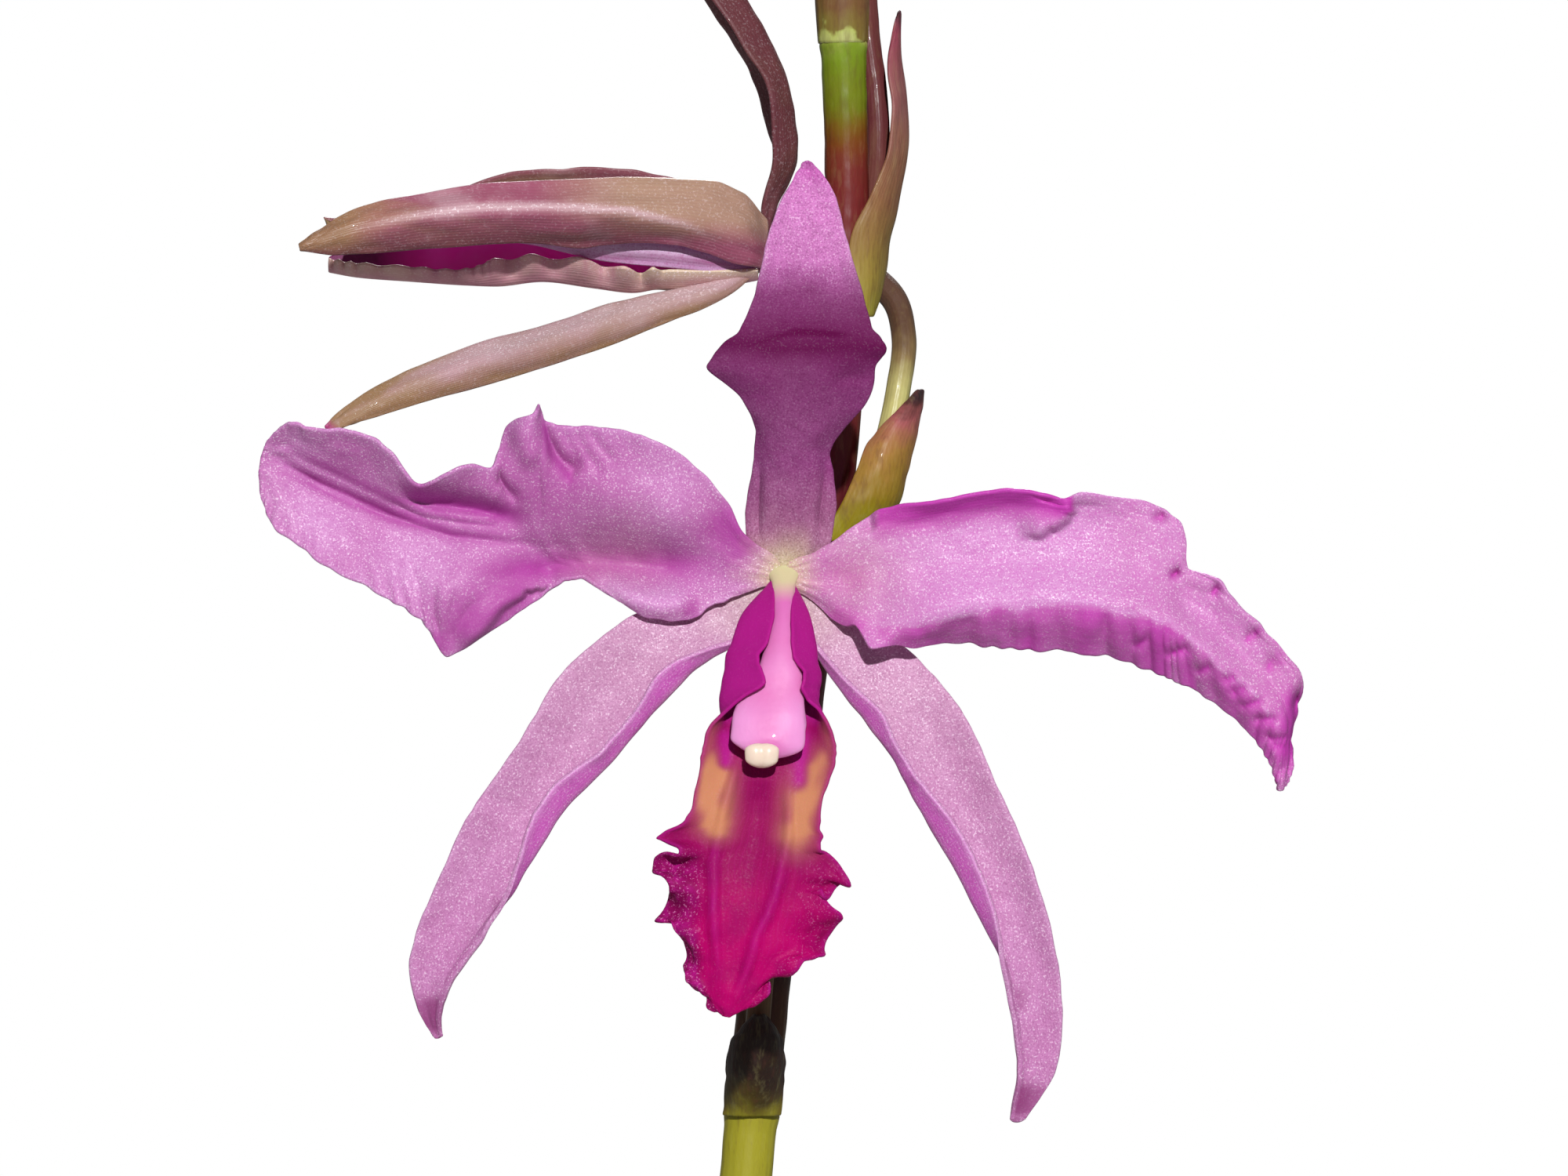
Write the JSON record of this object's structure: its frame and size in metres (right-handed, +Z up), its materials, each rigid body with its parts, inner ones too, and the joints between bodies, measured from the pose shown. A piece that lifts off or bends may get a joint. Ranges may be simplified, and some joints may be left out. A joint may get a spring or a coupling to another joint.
{
  "type": "potted laeliocattleya orchid",
  "caption": "Orchid in a plain clay pot: pseudobulbs with leathery leaves and a tall stem that carries an open pink bloom with a magenta lip, a half-open bloom and a bud.",
  "frame": {"origin": "middle of the pot's base, on the surface that it stands on", "axes": "+Z up along the pot and the flower stem, +X to the right of a viewer who faces the open bloom, +Y away from that viewer"},
  "size_m": [0.3478, 0.2209, 0.6491],
  "materials": {
    "clay": "matte fired clay",
    "bark": "rough pine bark",
    "root": "grey-green, spongy root skin",
    "bulb": "satin, finely ribbed",
    "husk": "dry and papery",
    "leaf": "leathery, semi-gloss",
    "spathe": "drying green sheath",
    "stalk": "smooth, maroon to olive",
    "bract": "thin, olive to maroon",
    "pedicel": "smooth, pale green",
    "bud": "smooth, dusky",
    "sepal": "soft satin with a fine sparkle",
    "petal": "soft satin with a fine sparkle",
    "lip": "velvety magenta",
    "column": "waxy, pale pink",
    "anther": "waxy cream",
    "dusky": "smooth, brownish pink",
    "pale_petal": "soft, lavender"
  },
  "bodies": {
    "root": {"pot": "clay", "bark": "bark", "rhizome_and_roots": "root", "pseudobulb_1": "bulb", "pseudobulb_2": "bulb", "pseudobulb_3": "bulb", "pseudobulb_4": "bulb", "pseudobulb_5": "bulb", "bulb_sheath_1": "husk", "bulb_sheath_2": "husk", "bulb_sheath_3": "husk", "bulb_sheath_4": "husk", "bulb_sheath_5": "husk", "leaf_1": "leaf", "leaf_2": "leaf", "leaf_3": "leaf", "leaf_4": "leaf", "leaf_5": "leaf", "spathe": "spathe", "peduncle": "stalk", "bract_front": "bract", "bract_right": "bract", "bract_upper": "bract", "low_bract": "bract", "bract_tip": "bract", "pedicel_front": "pedicel", "pedicel_left": "pedicel", "pedicel_top": "pedicel", "top_bud": "bud", "dorsal_sepal": "sepal", "lateral_sepal_left": "sepal", "lateral_sepal_right": "sepal", "petal_left": "petal", "petal_right": "petal", "lip": "lip", "left_bloom_lip": "lip", "column": "column", "left_bloom_column": "column", "anther_cap": "anther", "left_bloom_near_sepal": "dusky", "left_bloom_lower_sepal": "dusky", "left_bloom_upper_sepal": "dusky", "left_bloom_near_petal": "pale_petal", "left_bloom_far_petal": "pale_petal"}
  },
  "joints": []
}
